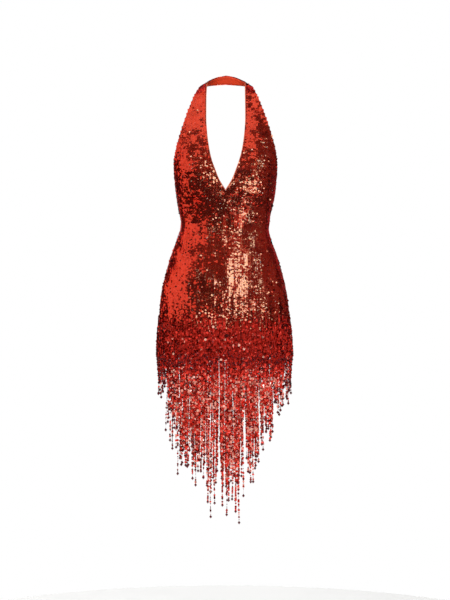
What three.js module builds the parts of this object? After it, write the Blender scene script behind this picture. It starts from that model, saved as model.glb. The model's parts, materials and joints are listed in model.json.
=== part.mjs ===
// Sequin halter mini dress with a pointed fringe hem, hollow, in the shape it has when worn.
//
// Units are millimetres. +Z is up and the front of the dress faces -Y. The origin is the middle of the
// neck band's inner face at the nape, where the wearer's neck holds the dress.

import * as THREE from 'three';

// ---------------------------------------------------------------- driving dimensions

const MIDDLE_Y = -59; // the figure's middle plane, in front of the nape
const SEQUIN_CLOTH = 1.6; // tulle with its sequins
const LINING = 1.0; // smooth lining of the neck band
const BINDING = 1.0; // bias binding of the neckline
const BINDING_WIDTH = 6.5; // how far the binding reaches across the cloth
const BINDING_SHOWS = 1.3; // how far it stands past the cloth's edge
const FRINGE = 2.6; // strung sequins, as thick as they hang
const SEAM_GAP = 0.3; // clearance between neighbouring pieces
const BINDING_GAP = 0.45; // clearance of the binding, whose facets lie across the cloth's

const COLUMNS = 12; // grid columns from the centre to the side
const BACK_ROWS = 9; // grid rows of the back above the fringe tiers
const BUST_PLACE = 0.8; // moves the fullest place of the bust towards the centre, below 1
const HEM_Z = -756; // lower edge of the cloth
const TIER_TOP_Z = -600; // stitching line of the highest fringe tier

const SCOOP_SIDE_Z = -352; // top of the side seam, where the open back starts
const SCOOP_LOW_Z = -428; // lowest point of the open back, at the centre
const SCOOP_POWER = 3; // how flat the bottom of the scoop is

const FALL_SIDE_Z = -850; // lower end of the fringe at the side seams
const FALL_POINT_Z = -1222; // lower end of the fringe at the centre
const FALL_POWER_LEFT = 0.62; // fuller outline on the -X side
const FALL_POWER_RIGHT = 0.88; // straighter outline on the +X side
const FALL_ROWS = 7;

// One row for each level of the dress, from the neck side down to the hem, for one half.
// The inner edge is the neckline, and the centre front below its point.
// The outer edge is the armhole edge, and the side seam below its top.
// y is measured from the figure's middle plane. round blends a straight section (0) into a quarter
// ellipse (1), bust is the fullness over the bust, back is the depth of the back at that level, lean
// moves the whole level sideways, and steps is the number of grid rows down to the next level.
const LEVEL_COLUMNS = [
  'innerX', 'innerY', 'innerZ', 'outerX', 'outerY', 'outerZ', 'round', 'bust', 'back', 'lean', 'steps',
];
const LEVELS = [
  [54.4, 8, -14.5, 72.0, 8, -25, 0.0, 0, 64, 3.0, 2],
  [54.6, -14, -28, 78.0, -12, -37, 0.05, 0, 66, 2.4, 2],
  [54.8, -38, -56, 87.0, -34, -57, 0.1, 0, 68, 2.0, 2],
  [54.8, -60, -92, 100.2, -55, -93, 0.15, 1, 70, 2.0, 2],
  [54.4, -78, -132, 113.5, -70, -132, 0.25, 3, 72, 2.0, 2],
  [51.2, -94, -172, 125.6, -80, -172, 0.4, 6, 74, 2.0, 2],
  [46.0, -106, -208, 134.6, -78, -206, 0.55, 10, 75, 1.8, 2],
  [39.4, -114, -236, 139.6, -68, -236, 0.7, 13, 76, 1.4, 2],
  [30.4, -119, -262, 140.4, -52, -262, 0.8, 14, 77, 1.4, 2],
  [19.4, -120, -290, 138.6, -34, -290, 0.9, 13, 77, 1.4, 2],
  [0, -118, -324, 135.0, -14, -324, 1, 9, 77, 1.4, 2],
  [0, -111, -352, 131.0, 0, -352, 1, 4, 78, 1.0, 2],
  [0, -101, -384, 123.5, 0, -384, 1, 1, 79, 0, 2],
  [0, -96, -418, 121.0, 0, -418, 1, 0, 83, -1.0, 2],
  [0, -99, -452, 130.5, 0, -452, 1, 0, 92, -2.5, 1],
  [0, -106, -490, 144.7, 0, -490, 1, 0, 103, -2.75, 1],
  [0, -115, -545, 161.0, 0, -545, 1, 0, 114, -2.75, 1],
  [0, -121, TIER_TOP_Z, 172.5, 0, TIER_TOP_Z, 1, 0, 119, -2.75, 1],
  [0, -123, -655, 178.0, 0, -655, 1, 0, 118, -2.0, 1],
  [0, -125, -705, 182.6, 0, -705, 1, 0, 117, -1.4, 1],
  [0, -126, HEM_Z, 185.4, 0, HEM_Z, 1, 0, 116, -1.0, 0],
];
const POINT_OF_V = 10; // the level at which the neckline ends in its point

// One row for each station of the neck band, from the neck side to the nape, for one half.
const BAND_COLUMNS = ['topX', 'topY', 'topZ', 'bottomX', 'bottomY', 'bottomZ'];
const BAND_STATIONS = [
  [54.4, 8, -14.5, 72.0, 8, -25],
  [51.5, 24, -10, 65.0, 29, -22],
  [42.0, 42, -3.5, 50.0, 47, -18],
  [23.0, 56, 5.5, 27.0, 60, -14],
  [0.0, 60, 10.5, 0.0, 64, -11.5],
];
const BAND_STEPS = 3; // grid columns between two stations
const BAND_ROWS = 3;

// ---------------------------------------------------------------- tables and curves

function namedRows(columns, rows) {
  return rows.map((row) => Object.fromEntries(columns.map((name, i) => [name, row[i]])));
}

// Catmull-Rom value between the second and third of four table values.
function smooth(before, from, to, after, t) {
  const slope = (to - before) / 2;
  const curve = before - 2.5 * from + 2 * to - 0.5 * after;
  const twist = -0.5 * before + 1.5 * from - 1.5 * to + 0.5 * after;
  return ((twist * t + curve) * t + slope) * t + from;
}

// Row of a table at a place between its rows: place 2.5 is halfway from row 2 to row 3.
function rowAt(table, place) {
  const last = table.length - 1;
  const i = Math.min(Math.max(Math.floor(place), 0), last - 1);
  const row = {};
  for (const name of Object.keys(table[0])) {
    const value = (k) => table[Math.min(Math.max(k, 0), last)][name];
    row[name] = smooth(value(i - 1), value(i), value(i + 1), value(i + 2), place - i);
  }
  return row;
}

const levels = namedRows(LEVEL_COLUMNS, LEVELS);
const stations = namedRows(BAND_COLUMNS, BAND_STATIONS);

// Level of the dress at a place in the table, with its neckline kept on its own side.
function levelAt(place) {
  const level = rowAt(levels, place);
  level.innerX = place >= POINT_OF_V ? 0 : Math.max(level.innerX, 0);
  return level;
}

// Level of the dress at a height below the bust, where the levels are horizontal.
function levelAtHeight(z) {
  let high = POINT_OF_V;
  let low = levels.length - 1;
  for (let halving = 0; halving < 40; halving += 1) {
    const middle = (high + low) / 2;
    if (levelAt(middle).outerZ > z) high = middle;
    else low = middle;
  }
  return levelAt(low);
}

// Places in the table of all grid rows from one level to another.
function gridPlaces(first, last) {
  const places = [];
  for (let i = first; i < last; i += 1) {
    for (let k = 0; k < levels[i].steps; k += 1) places.push(i + k / levels[i].steps);
  }
  places.push(last);
  return places;
}

// ---------------------------------------------------------------- surfaces of the dress

// Point of the front on one side (-1 or 1), across from the inner edge (0) to the outer edge (1).
function frontPoint(level, side, across) {
  const quarter = (Math.PI / 2) * across;
  const outward = level.round * Math.sin(quarter) + (1 - level.round) * across;
  const forward = level.round * Math.cos(quarter) + (1 - level.round) * (1 - across);
  const fullness = level.bust * Math.sin(Math.PI * across ** BUST_PLACE) ** 2;
  const x = level.innerX + (level.outerX - level.innerX) * outward;
  const y = level.outerY + (level.innerY - level.outerY) * forward - fullness;
  const z = level.innerZ + (level.outerZ - level.innerZ) * across;
  return new THREE.Vector3(level.lean + side * x, MIDDLE_Y + y, z);
}

// Point of the back on one side, from the centre back (0) to the side seam (1).
function backPoint(z, side, across) {
  const level = levelAtHeight(z);
  const quarter = (Math.PI / 2) * across;
  const x = level.lean + side * level.outerX * Math.sin(quarter);
  return new THREE.Vector3(x, MIDDLE_Y + level.back * Math.cos(quarter), z);
}

// Upper edge of the back: a scoop, low in the middle and up to the side seams.
function scoopZ(across) {
  const outward = Math.sin((Math.PI / 2) * across);
  return SCOOP_LOW_Z + (SCOOP_SIDE_Z - SCOOP_LOW_Z) * outward ** SCOOP_POWER;
}

// Lower end of the fringe: a point in the middle, with a fuller outline on the -X side.
function fallEndZ(x, side, halfWidth) {
  const power = side < 0 ? FALL_POWER_LEFT : FALL_POWER_RIGHT;
  const inward = Math.max(1 - Math.abs(x) / halfWidth, 0);
  return FALL_SIDE_Z + (FALL_POINT_Z - FALL_SIDE_Z) * inward ** power;
}

// ---------------------------------------------------------------- walls

// A surface is a list of points and triangles that face outwards. square names, for a point on a seam,
// the axes that its thickness must not run along, so that the two faces of a seam stay parallel.
function newSurface() {
  return { points: [], square: [], triangles: [] };
}

function addPoint(surface, point, square = '') {
  surface.points.push(point);
  surface.square.push(square);
  return surface.points.length - 1;
}

// Two triangles for each cell of a grid of point numbers; flip turns the facing.
function addGrid(surface, grid, flip) {
  for (let i = 0; i + 1 < grid.length; i += 1) {
    for (let j = 0; j + 1 < grid[i].length; j += 1) {
      const a = grid[i][j];
      const b = grid[i][j + 1];
      const c = grid[i + 1][j + 1];
      const d = grid[i + 1][j];
      const cell = flip ? [[a, b, c], [a, c, d]] : [[a, c, b], [a, d, c]];
      for (const triangle of cell) {
        if (new Set(triangle).size === 3) surface.triangles.push(triangle);
      }
    }
  }
}

function surfaceNormals(surface) {
  const normals = surface.points.map(() => new THREE.Vector3());
  for (const [a, b, c] of surface.triangles) {
    const ab = surface.points[b].clone().sub(surface.points[a]);
    const ac = surface.points[c].clone().sub(surface.points[a]);
    const facing = ab.cross(ac);
    for (const k of [a, b, c]) normals[k].add(facing);
  }
  normals.forEach((normal, k) => {
    for (const axis of surface.square[k]) normal[axis] = 0;
    normal.normalize();
  });
  return normals;
}

// Closed wall between two skins, each the surface moved along its normals by the given distance.
function wallGeometry(surface, innerMove, outerMove) {
  const normals = surfaceNormals(surface);
  const count = surface.points.length;
  const positions = [];
  for (const move of [outerMove, innerMove]) {
    surface.points.forEach((point, k) => {
      positions.push(...point.clone().addScaledVector(normals[k], move).toArray());
    });
  }
  const indices = [];
  const edges = new Map();
  for (const [a, b, c] of surface.triangles) {
    indices.push(a, b, c, count + a, count + c, count + b);
    for (const [from, to] of [[a, b], [b, c], [c, a]]) edges.set(`${from}_${to}`, [from, to]);
  }
  for (const [from, to] of edges.values()) {
    if (edges.has(`${to}_${from}`)) continue;
    indices.push(from, count + from, count + to, from, count + to, to);
  }
  const geometry = new THREE.BufferGeometry();
  geometry.setAttribute('position', new THREE.Float32BufferAttribute(positions, 3));
  geometry.setIndex(indices);
  return geometry;
}

// ---------------------------------------------------------------- pieces

const SIDES = [-1, 1];

// Front surface between two levels, both halves joined along the centre front below the V's point.
function frontSurface(first, last) {
  const surface = newSurface();
  const centre = new Map();
  for (const side of SIDES) {
    const grid = gridPlaces(first, last).map((place) => {
      const level = levelAt(place);
      const row = [];
      for (let j = 0; j <= COLUMNS; j += 1) {
        const shared = j === 0 && place >= POINT_OF_V;
        if (shared && centre.has(place)) {
          row.push(centre.get(place));
          continue;
        }
        const point = frontPoint(level, side, j / COLUMNS);
        let square = place === 0 ? 'y' : '';
        if (j === COLUMNS && place >= POINT_OF_V) {
          point.y = Math.min(point.y, MIDDLE_Y - SEAM_GAP / 2);
          square += 'y';
        }
        if (place === last) square += 'z';
        row.push(addPoint(surface, point, square));
        if (shared) centre.set(place, row[0]);
      }
      return row;
    });
    addGrid(surface, grid, side < 0);
  }
  return surface;
}

// Rows of heights of one column of the back, from its upper edge to the hem.
function backHeights(across) {
  const heights = [];
  for (let i = 0; i < BACK_ROWS; i += 1) {
    heights.push(scoopZ(across) + (TIER_TOP_Z - scoopZ(across)) * (i / BACK_ROWS));
  }
  for (const level of levels) if (level.outerZ <= TIER_TOP_Z) heights.push(level.outerZ);
  return heights;
}

// Back surface of one side, or of both sides joined, from a row of its grid down to the hem.
function backSurface(sides, firstRow) {
  const surface = newSurface();
  const joined = sides.length > 1;
  const centre = [];
  for (const side of sides) {
    const columns = [];
    for (let j = 0; j <= COLUMNS; j += 1) {
      const heights = backHeights(j / COLUMNS).slice(firstRow);
      columns.push(heights.map((z, i) => {
        if (j === 0 && joined && centre[i] !== undefined) return centre[i];
        const point = backPoint(z, side, j / COLUMNS);
        let square = z === HEM_Z ? 'z' : '';
        if (j === 0 && !joined) {
          point.x += side * (SEAM_GAP / 2);
          square += 'x';
        }
        if (j === COLUMNS) {
          point.y = MIDDLE_Y + SEAM_GAP / 2;
          square += 'y';
        }
        const index = addPoint(surface, point, square);
        if (j === 0 && joined) centre[i] = index;
        return index;
      }));
    }
    const grid = columns[0].map((_, i) => columns.map((column) => column[i]));
    addGrid(surface, grid, side > 0);
  }
  return surface;
}

// Surface of the fringe that falls straight down from the hem, in front (-1) or behind (1).
function fallSurface(depthSide) {
  const hem = levels[levels.length - 1];
  const depth = depthSide < 0 ? -hem.innerY : hem.back;
  const top = HEM_Z - SEAM_GAP;
  const surface = newSurface();
  const grid = [];
  for (let i = 0; i <= FALL_ROWS; i += 1) {
    const row = [];
    for (let j = -COLUMNS; j <= COLUMNS; j += 1) {
      const turn = (Math.PI / 2) * (j / COLUMNS);
      const x = hem.outerX * Math.sin(turn);
      const seam = Math.abs(j) === COLUMNS;
      const y = seam ? SEAM_GAP / 2 : depth * Math.cos(turn);
      const z = top + (fallEndZ(x, Math.sign(j), hem.outerX) - top) * (i / FALL_ROWS);
      const point = new THREE.Vector3(hem.lean + x, MIDDLE_Y + depthSide * y, z);
      row.push(addPoint(surface, point, seam ? 'yz' : 'z'));
    }
    grid.push(row);
  }
  addGrid(surface, grid, depthSide > 0);
  return surface;
}

// Surface of the neck band, from one neck side round the nape to the other.
function bandSurface() {
  const surface = newSurface();
  const stationCount = (stations.length - 1) * BAND_STEPS;
  const grid = [];
  for (let i = 0; i <= BAND_ROWS; i += 1) grid.push([]);
  for (let j = -stationCount; j <= stationCount; j += 1) {
    const side = Math.sign(j);
    const end = Math.abs(j) === stationCount;
    const station = rowAt(stations, stations.length - 1 - Math.abs(j) / BAND_STEPS);
    const { lean } = levels[0];
    const y = MIDDLE_Y + (end ? SEAM_GAP : 0);
    const top = new THREE.Vector3(lean + side * station.topX, y + station.topY, station.topZ);
    const bottom = new THREE.Vector3(lean + side * station.bottomX, y + station.bottomY, station.bottomZ);
    for (let i = 0; i <= BAND_ROWS; i += 1) {
      const point = top.clone().lerp(bottom, i / BAND_ROWS);
      grid[i].push(addPoint(surface, point, end ? 'y' : ''));
    }
  }
  addGrid(surface, grid, true);
  return surface;
}

// Surface of the binding behind one side of the neckline, from the neck side to the V's point.
function bindingSurface(side) {
  const surface = newSurface();
  const grid = gridPlaces(0, POINT_OF_V).map((place) => {
    const level = levelAt(place);
    const width = level.outerX - level.innerX;
    const inner = frontPoint(level, side, 0);
    const outer = frontPoint(level, side, BINDING_WIDTH / width);
    const along = outer.clone().sub(inner).normalize();
    inner.addScaledVector(along, -BINDING_SHOWS);
    const mitre = level.lean + side * (SEAM_GAP / 2);
    if (side * (inner.x - mitre) < 0) inner.x = mitre;
    return [inner, outer].map((point) => addPoint(surface, point, place === 0 ? 'y' : ''));
  });
  addGrid(surface, grid, side < 0);
  return surface;
}

// ---------------------------------------------------------------- finishes

const FINISHES = {
  sequins: { color: 0xb01d18, roughness: 0.3, metalness: 0.75 },
  lining: { color: 0xcf3f20, roughness: 0.55, metalness: 0 },
  binding: { color: 0xb5452c, roughness: 0.6, metalness: 0 },
  fringe: { color: 0xa81b1e, roughness: 0.35, metalness: 0.6 },
};

function addPiece(dress, name, geometry, finish) {
  const mesh = new THREE.Mesh(geometry, new THREE.MeshStandardMaterial(FINISHES[finish]));
  mesh.name = name;
  dress.add(mesh);
}

// ---------------------------------------------------------------- the dress

const dress = new THREE.Group();
const lastLevel = levels.length - 1;
const tierLevel = levels.findIndex((level) => level.outerZ === TIER_TOP_Z);
const tierRow = backHeights(0).indexOf(TIER_TOP_Z);
const insideCloth = -SEQUIN_CLOTH - SEAM_GAP;
const insideBinding = -SEQUIN_CLOTH - BINDING_GAP;

addPiece(dress, 'front_panel', wallGeometry(frontSurface(0, lastLevel), -SEQUIN_CLOTH, 0), 'sequins');
for (const side of SIDES) {
  const hand = side < 0 ? 'left' : 'right';
  const back = wallGeometry(backSurface([side], 0), -SEQUIN_CLOTH, 0);
  addPiece(dress, `back_${hand}_panel`, back, 'sequins');
  const binding = wallGeometry(bindingSurface(side), insideBinding - BINDING, insideBinding);
  addPiece(dress, `neckline_binding_${hand}`, binding, 'binding');
}

const band = bandSurface();
addPiece(dress, 'neck_band', wallGeometry(band, -SEQUIN_CLOTH, 0), 'sequins');
addPiece(dress, 'neck_band_lining', wallGeometry(band, insideCloth - LINING, insideCloth), 'lining');

const fringeOut = SEAM_GAP + FRINGE;
const frontTiers = frontSurface(tierLevel, lastLevel);
const backTiers = backSurface(SIDES, tierRow);
addPiece(dress, 'fringe_tiers_front', wallGeometry(frontTiers, SEAM_GAP, fringeOut), 'fringe');
addPiece(dress, 'fringe_tiers_back', wallGeometry(backTiers, SEAM_GAP, fringeOut), 'fringe');
addPiece(dress, 'fringe_fall_front', wallGeometry(fallSurface(-1), SEAM_GAP, fringeOut), 'fringe');
addPiece(dress, 'fringe_fall_back', wallGeometry(fallSurface(1), SEAM_GAP, fringeOut), 'fringe');

export default dress;
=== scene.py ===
"""Makes a sequin halter mini dress with a pointed fringe hem, one operator for each kind of piece."""

import json
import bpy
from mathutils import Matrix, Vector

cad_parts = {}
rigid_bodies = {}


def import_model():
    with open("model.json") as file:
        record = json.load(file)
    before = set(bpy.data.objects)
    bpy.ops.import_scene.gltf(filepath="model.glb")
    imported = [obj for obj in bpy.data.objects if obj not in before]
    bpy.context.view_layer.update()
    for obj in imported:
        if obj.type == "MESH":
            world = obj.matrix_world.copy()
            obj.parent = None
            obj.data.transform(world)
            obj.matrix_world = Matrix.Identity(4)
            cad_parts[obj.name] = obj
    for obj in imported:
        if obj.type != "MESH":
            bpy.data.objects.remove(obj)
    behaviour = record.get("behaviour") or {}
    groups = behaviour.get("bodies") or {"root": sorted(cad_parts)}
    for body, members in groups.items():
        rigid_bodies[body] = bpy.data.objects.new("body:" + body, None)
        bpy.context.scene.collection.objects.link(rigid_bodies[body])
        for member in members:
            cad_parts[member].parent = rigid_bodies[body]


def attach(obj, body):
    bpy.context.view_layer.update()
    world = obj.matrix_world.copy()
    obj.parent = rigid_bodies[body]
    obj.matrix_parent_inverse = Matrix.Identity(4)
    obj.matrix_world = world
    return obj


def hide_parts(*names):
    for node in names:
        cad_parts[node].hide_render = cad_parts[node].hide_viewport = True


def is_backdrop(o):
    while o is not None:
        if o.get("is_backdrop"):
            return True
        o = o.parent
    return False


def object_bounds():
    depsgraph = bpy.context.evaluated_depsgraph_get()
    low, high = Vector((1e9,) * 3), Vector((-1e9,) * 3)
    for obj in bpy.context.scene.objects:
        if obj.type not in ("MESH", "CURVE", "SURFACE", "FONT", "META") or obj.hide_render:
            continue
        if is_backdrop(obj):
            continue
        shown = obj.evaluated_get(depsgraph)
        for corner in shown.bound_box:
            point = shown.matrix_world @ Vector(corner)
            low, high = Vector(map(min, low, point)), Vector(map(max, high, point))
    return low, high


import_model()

from types import SimpleNamespace

import bpy
import numpy as np
from bpy.props import FloatProperty, FloatVectorProperty, IntProperty, PointerProperty
from bpy.types import Operator, Panel, PropertyGroup
from mathutils import Vector

bl_info = {
    "name": "Sequin halter dress",
    "version": (1, 0, 0),
    "blender": (4, 5, 0),
    "location": "3D View > Sidebar > Dress",
    "description": "Makes a sequin halter mini dress with a pointed fringe hem",
    "category": "Add Mesh",
}

CAD_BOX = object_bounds()
MM = 0.001
WELD_REACH = 1e-5  # edges of cloth this near are one seam, in metres
BAKE_MARGIN = 0.06  # free edge of a sequin's cell in the bake map

# ---------------------------------------------------------------- the dress's shape, in millimetres

MIDDLE_Y = -59  # the figure's middle plane, in front of the nape
HEM_Z = -756  # lower edge of the cloth
SCOOP_SIDE_Z, SCOOP_LOW_Z, SCOOP_POWER = -352, -428, 3  # upper edge of the back
SEQUIN_END_Z = -694  # sequins sewn on the cloth run this far down, in under the fringe tiers
BUST_PLACE = 0.8  # moves the fullest place of the bust towards the centre, below 1
SEAM_GAP = 0.3  # clearance between neighbouring pieces
BINDING_GAP = 0.45  # clearance of the binding, which lies behind the cloth's edge
POINT_OF_V = 10  # the level at which the neckline ends in its point

# One row for each level of half the dress, from the neck down to the hem. The inner edge is the neckline
# and the outer one the armhole edge and side seam. round turns a straight section into a quarter ellipse,
# bust makes it fuller, back is how deep the back is there, and lean moves the whole level to +X.
LEVEL_COLUMNS = "inner_x inner_y inner_z outer_x outer_y outer_z round bust back lean".split()
LEVELS = [
    (54.4, 8, -14.5, 72.0, 8, -25, 0.0, 0, 64, 3.0),
    (54.6, -14, -28, 78.0, -12, -37, 0.05, 0, 66, 2.4),
    (54.8, -38, -56, 87.0, -34, -57, 0.1, 0, 68, 2.0),
    (54.8, -60, -92, 100.2, -55, -93, 0.15, 1, 70, 2.0),
    (54.4, -78, -132, 113.5, -70, -132, 0.25, 3, 72, 2.0),
    (51.2, -94, -172, 125.6, -80, -172, 0.4, 6, 74, 2.0),
    (46.0, -106, -208, 134.6, -78, -206, 0.55, 10, 75, 1.8),
    (39.4, -114, -236, 139.6, -68, -236, 0.7, 13, 76, 1.4),
    (30.4, -119, -262, 140.4, -52, -262, 0.8, 14, 77, 1.4),
    (19.4, -120, -290, 138.6, -34, -290, 0.9, 13, 77, 1.4),
    (0, -118, -324, 135.0, -14, -324, 1, 9, 77, 1.4),
    (0, -111, -352, 131.0, 0, -352, 1, 4, 78, 1.0),
    (0, -101, -384, 123.5, 0, -384, 1, 1, 79, 0),
    (0, -96, -418, 121.0, 0, -418, 1, 0, 83, -1.0),
    (0, -99, -452, 130.5, 0, -452, 1, 0, 92, -2.5),
    (0, -106, -490, 144.7, 0, -490, 1, 0, 103, -2.75),
    (0, -115, -545, 161.0, 0, -545, 1, 0, 114, -2.75),
    (0, -121, -600, 172.5, 0, -600, 1, 0, 119, -2.75),
    (0, -123, -655, 178.0, 0, -655, 1, 0, 118, -2.0),
    (0, -125, -705, 182.6, 0, -705, 1, 0, 117, -1.4),
    (0, -126, HEM_Z, 185.4, 0, HEM_Z, 1, 0, 116, -1.0),
]
LAST_LEVEL = len(LEVELS) - 1

# One row for each station of half the neck band, from the side of the neck to the nape.
BAND_COLUMNS = "top_x top_y top_z bottom_x bottom_y bottom_z".split()
BAND_STATIONS = [
    (54.4, 8, -14.5, 72.0, 8, -25),
    (51.5, 24, -10, 65.0, 29, -22),
    (42.0, 42, -3.5, 50.0, 47, -18),
    (23.0, 56, 5.5, 27.0, 60, -14),
    (0.0, 60, 10.5, 0.0, 64, -11.5),
]
LAST_STATION = len(BAND_STATIONS) - 1

# Soft ridges (height above 0) and troughs of the worn cloth: their middle, half length, half breadth,
# turn from the vertical in degrees, and height.
CREASE_COLUMNS = "x z run breadth turn height".split()
FRONT_CREASES = [
    (7, -545, 95, 15, 0, 1.5),
    (-78, -95, 45, 11, -12, -0.9),
    (74, -70, 30, 9, 20, -1.0),
    (86, -125, 45, 11, 12, 1.3),
    (98, -178, 40, 12, 8, -1.4),
    (-96, -236, 50, 14, -14, -1.1),
    (70, -268, 34, 9, 84, 1.1),
    (62, -296, 40, 8, 96, -1.0),
    (80, -322, 34, 9, 78, 1.2),
    (-58, -300, 36, 10, 70, -1.0),
    (106, -362, 34, 12, 104, -2.0),
    (98, -398, 38, 12, 82, 1.7),
    (-104, -398, 36, 12, 74, -1.9),
    (-94, -430, 40, 12, 98, 1.5),
    (-18, -398, 52, 16, 86, 0.8),
    (34, -426, 44, 14, 95, -0.7),
    (58, -520, 60, 20, 5, 1.2),
    (34, -575, 50, 9, 0, -0.6),
    (-112, -505, 80, 24, -4, 1.2),
    (-68, -560, 55, 13, 3, -1.1),
    (120, -560, 60, 18, 6, -1.2),
]
BACK_CREASES = [
    (-8, -520, 80, 17, 0, -1.3),
    (70, -505, 70, 19, 5, 1.3),
    (-74, -520, 76, 21, -6, 1.2),
    (112, -420, 40, 12, 98, -1.8),
    (-108, -408, 42, 12, 78, -1.7),
    (92, -452, 44, 13, 84, 1.4),
    (-88, -446, 44, 13, 100, 1.5),
    (30, -462, 46, 12, 92, 0.8),
    (-120, -575, 60, 18, -5, -1.2),
    (124, -590, 56, 16, 4, 1.1),
]

# Patches and streaks of sequins that have been brushed over: their middle, half length, half breadth and
# turn, how far the sequins lean to +X and up in degrees, and how much looser they sit.
BRUSHED_COLUMNS = "x z run breadth turn sideways upward looser".split()
FRONT_BRUSHED = [
    (-76, -352, 108, 19, 4, 6, -13, 4),
    (-62, -560, 60, 13, 3, 8, -12, 2),
    (92, -120, 70, 24, 14, 0, 0, 6),
    (88, -64, 32, 9, 22, -14, 0, 2),
    (66, -70, 34, 8, 6, 6, -3, 6),
    (-48, -578, 27, 3, 0, -10, 0, 0),
    (-24, -580, 25, 3, 0, 16, 2, 0),
    (18, -645, 44, 8, 0, 0, 6, 0),
    (72, -640, 46, 28, 0, 10, 0, 0),
    (58, -512, 44, 11, 0, -8, 0, 0),
    (-92, -600, 50, 16, -14, 12, -6, 3),
    (56, -400, 40, 17, 0, 10, 0, 0),
    (26, -418, 44, 17, 0, -9, 0, 0),
    (82, -312, 46, 12, 12, -7, 0, 0),
]
BACK_BRUSHED = [
    (66, -520, 80, 16, -4, -8, -11, 3),
    (-40, -470, 40, 18, 10, 5, 8, 4),
]

# How loosely the sewn sequins sit, in degrees, and the share of them that stands up, by their depth below
# the nape.
LOOSE_DEPTHS = [120, 210, 330, 400, 550, 610, 670, 760]
LOOSENESS = [0.6, 4.0, 4.5, 0.6, 0.0, 2.0, 9.0, 12.0]
STAND_DEPTHS = [170, 260, 420, 520]
STAND_SHARES = [0.05, 0.17, 0.17, 0.19]
STAND_SIDEWAYS, STAND_UPWARD = 15, 11  # how far those that stand up turn, in degrees

# Seeds of what is random: how the sequins of each part lie, how their columns turn, and the strands.
FRONT_SEED, BACK_SEED, BAND_SEED = 11, 21, 51
FRONT_COLUMN_SEED, BACK_COLUMN_SEED = 31, 41
STRAND_SEED = 70

# ---------------------------------------------------------------- the fringe, in millimetres

# Stitching line and lower end of each tier, from the highest. The upper three end in a level edge just
# below the hem, and the lower two, without an end here, hang down in locks.
TIERS = [(-664, -770), (-684, -780), (-702, -790), (-722, np.nan), (HEM_Z + 2, np.nan)]
TIER_RAGGED = 11  # how unevenly the level tiers start and end
BACK_PITCH = 1.12  # how much further apart the strands hang behind
BACK_SHORTER = 0.25  # how much shorter they hang there, as a share of a lock's point
FALL = 450  # the fringe's drop below the hem, over which it sways more and more
DRAWN_IN = 0.03  # how much narrower the whole fringe gets below the hem, before its locks part
STRAYS, STRAY_PULL = 0.2, 0.15  # share of strands that hardly follow their lock, and how far they do

# Locks that the long strands hang in: middle across the dress, half breadth, and the heights where most
# strands and the longest strand end. Strands between two locks lean to the nearer one.
LOCK_COLUMNS = "x half end_z longest_z".split()
LOCKS = [
    (-177, 7, -840, -881),
    (-146, 9, -930, -1017),
    (-125, 7, -985, -1084),
    (-108, 7, -1034, -1060),
    (-84, 16, -1042, -1112),
    (-58, 6, -1022, -1092),
    (-37, 15, -1038, -1196),
    (1, 16, -1088, -1190),
    (31, 10, -1090, -1212),
    (45, 3, -1030, -1140),
    (75, 16, -1030, -1128),
    (101, 3, -960, -1018),
    (119, 10, -960, -994),
    (148, 10, -880, -926),
    (174, 8, -846, -898),
]
LOCKS_OPEN_Z, LOCKS_SHUT_Z = -815, -985  # the locks part between these heights
PALE_HIGHLIGHT_SHARE, LARGE_HIGHLIGHT_SHARE = 0.015, 0.0022  # shares of strung sequins with a pale painted highlight, and of large ones with the brightest painted highlight
STRUNG_CORNERS = 7  # of a strung sequin's round edge
THREAD_STEPS = 22  # points down a thread
BEAD_PITCH, DROP_RISE = 7.0, 3.5  # from bead to bead, and from a strand's end up to its drop's middle


def named(columns, values):
    """Values under the names of their columns."""
    return SimpleNamespace(**dict(zip(columns, values)))


def rows_at(columns, table, place):
    """Catmull-Rom spline through a table's rows, read at places that count its rows, as named arrays."""
    rows, place = np.array(table, float), np.asarray(place, float)
    first = np.clip(np.floor(place).astype(int), 0, len(rows) - 2)
    t = (place - first)[..., None]
    before, a, b, after = (rows[np.clip(first + k, 0, len(rows) - 1)] for k in (-1, 0, 1, 2))
    slope, curve = (b - before) / 2, before - 2.5 * a + 2 * b - 0.5 * after
    values = (((1.5 * (a - b) + 0.5 * (after - before)) * t + curve) * t + slope) * t + a
    return named(columns, np.moveaxis(values, -1, 0))


def level_at(place):
    """The dress's level at a place between the rows of its table, its neckline kept on its own side."""
    level = rows_at(LEVEL_COLUMNS, LEVELS, place)
    level.inner_x = np.where(np.asarray(place) >= POINT_OF_V, 0, np.maximum(level.inner_x, 0))
    return level


def unit(vectors):
    """The vectors at length 1."""
    return vectors / np.maximum(np.linalg.norm(vectors, axis=-1, keepdims=True), 1e-12)


def with_normals(surface, place, across, out_sign, down_step=0.02, over_step=0.004):
    """Points of a surface, and unit vectors out of it and down it: the cross product of two small steps."""
    down = surface(place + down_step, across) - surface(place - down_step, across)
    along = surface(place, across + over_step) - surface(place, across - over_step)
    return surface(place, across), unit(np.cross(down, along)) * out_sign, unit(down)


def bells(columns, table, x, z):
    """Each row of a table by its column names, with its strength at places: a bell across its breadth
    times a flatter bell along its run."""
    for row in table:
        row = named(columns, row)
        turn = np.radians(row.turn)
        along = (x - row.x) * np.sin(turn) - (z - row.z) * np.cos(turn)
        aside = (x - row.x) * np.cos(turn) + (z - row.z) * np.sin(turn)
        yield row, np.exp(-((along / row.run) ** 4) - (aside / row.breadth) ** 2)


def creased(plain, creases, out_sign):
    """A plain surface moved out along its normals by the height of all its creases together."""

    def surface(place, across):
        points, normals, _ = with_normals(plain, place, across, out_sign)
        here = bells(CREASE_COLUMNS, creases, points[..., 0] / MM, points[..., 2] / MM)
        height = sum(crease.height * bell for crease, bell in here)
        return points + normals * (height * MM)[..., None]

    return surface


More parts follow.
